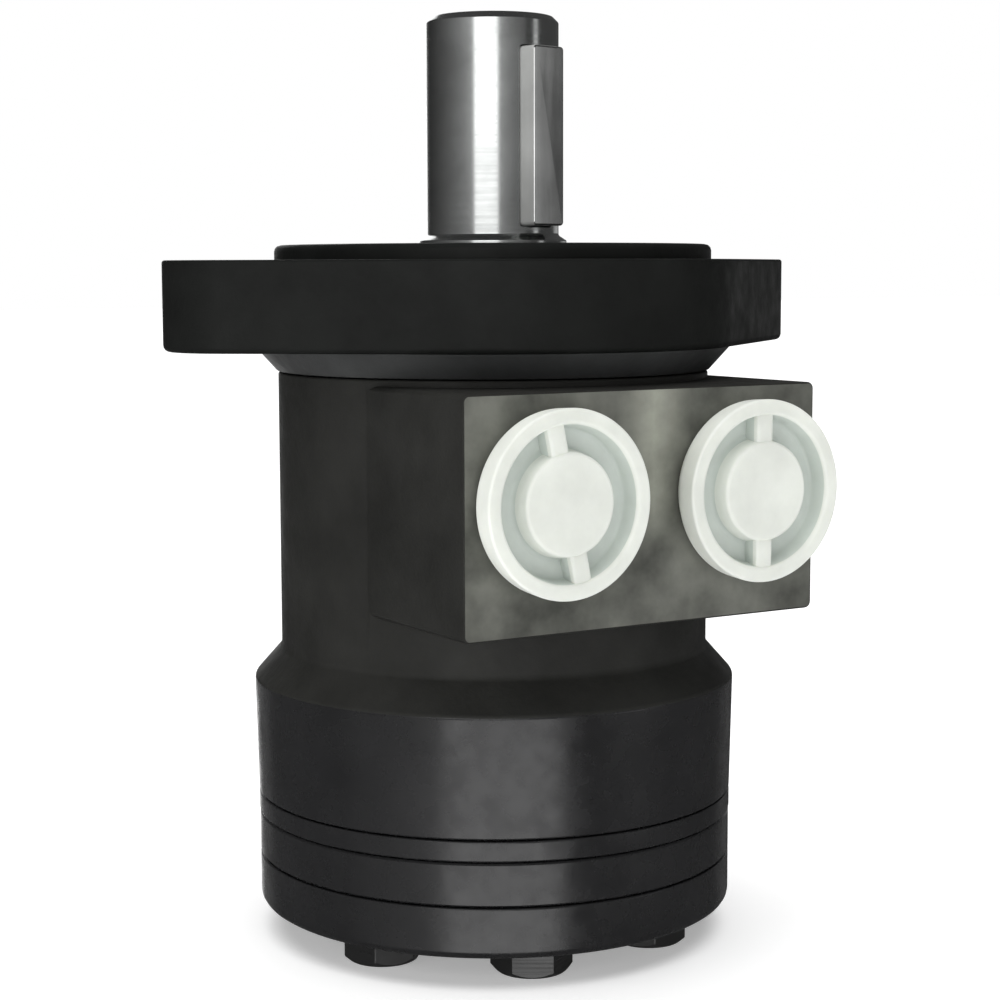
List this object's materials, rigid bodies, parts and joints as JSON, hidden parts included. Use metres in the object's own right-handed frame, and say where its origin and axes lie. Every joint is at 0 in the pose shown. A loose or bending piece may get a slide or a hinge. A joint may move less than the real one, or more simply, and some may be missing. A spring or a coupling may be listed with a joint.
{
  "type": "orbital hydraulic motor",
  "caption": "Low-speed orbital hydraulic motor: black cast housing with two plugged side ports, oval two-bolt flange with pilot, keyed steel output shaft and bolted gerotor section.",
  "frame": {"origin": "centre of the end cover's flat rear face, on the shaft axis", "axes": "+Z along the output shaft, out of the mounting flange; -Y out of the two side ports; X along the mounting flange's long axis"},
  "size_m": [0.1324, 0.1045, 0.1729],
  "materials": {
    "flange_black": "semi-gloss black",
    "black_casting": "semi-gloss black over cast iron",
    "dark_steel": "satin dark steel",
    "black_oxide": "black oxide",
    "ground_steel": "ground",
    "key_steel": "drawn",
    "bearing_steel": "polished",
    "white_plastic": "matte",
    "plug_plastic": "slightly translucent white",
    "seal_rubber": "matte black",
    "copper_washer": "copper"
  },
  "bodies": {
    "motor_body": {"mounting_flange": "flange_black", "dust_seal": "seal_rubber", "shaft_seal": "seal_rubber", "seal_backup_ring": "white_plastic", "flange_o_ring": "seal_rubber", "thrust_race_upper": "bearing_steel", "thrust_needle_bearing": "bearing_steel", "thrust_race_lower": "bearing_steel", "housing": "black_casting", "drain_plug": "black_oxide", "drain_washer": "copper_washer", "housing_o_ring": "seal_rubber", "spacer_plate": "dark_steel", "ring_o_ring": "seal_rubber", "gerotor_ring": "dark_steel", "cover_o_ring": "seal_rubber", "end_cover": "dark_steel", "flange_screw_1": "black_oxide", "flange_screw_2": "black_oxide", "flange_screw_3": "black_oxide", "flange_screw_4": "black_oxide", "cover_bolt_1": "black_oxide", "cover_bolt_2": "black_oxide", "cover_bolt_3": "black_oxide", "cover_bolt_4": "black_oxide", "cover_bolt_5": "black_oxide", "cover_bolt_6": "black_oxide", "cover_bolt_7": "black_oxide"},
    "shaft": {"output_shaft": "ground_steel", "shaft_key": "key_steel"},
    "orbit_carrier": {"drive_spacer": "bearing_steel"},
    "rotor": {"gerotor_star": "bearing_steel"},
    "link": {"drive_link": "bearing_steel"},
    "plug_a": {"port_plug_a": "plug_plastic"},
    "plug_b": {"port_plug_b": "plug_plastic"}
  },
  "joints": [
    {"name": "shaft_spin", "type": "hinge", "parent": "motor_body", "child": "shaft", "pos_m": [0, 0, 0.1], "axis": [0, 0, 1], "continuous": true},
    {"name": "orbit", "type": "hinge", "parent": "motor_body", "child": "orbit_carrier", "pos_m": [0, 0, 0.01345], "axis": [0, 0, 1], "continuous": true},
    {"name": "rotor_turn", "type": "hinge", "parent": "orbit_carrier", "child": "rotor", "pos_m": [-0.001, -0.00283, 0.01345], "axis": [0, 0, 1], "continuous": true},
    {"name": "link_turn", "type": "hinge", "parent": "orbit_carrier", "child": "link", "pos_m": [0, 0, 0.067], "axis": [0.0187, 0.0527, 0.9984], "continuous": true},
    {"name": "plug_a_pull", "type": "slide", "parent": "motor_body", "child": "plug_a", "axis": [0, -1, 0], "range_m": [0, 0.03]},
    {"name": "plug_b_pull", "type": "slide", "parent": "motor_body", "child": "plug_b", "axis": [0, -1, 0], "range_m": [0, 0.03]}
  ],
  "couplings": [
    {"joint": "orbit", "follows": "shaft_spin", "ratio": -6},
    {"joint": "rotor_turn", "follows": "shaft_spin", "ratio": 7},
    {"joint": "link_turn", "follows": "shaft_spin", "ratio": 7}
  ]
}
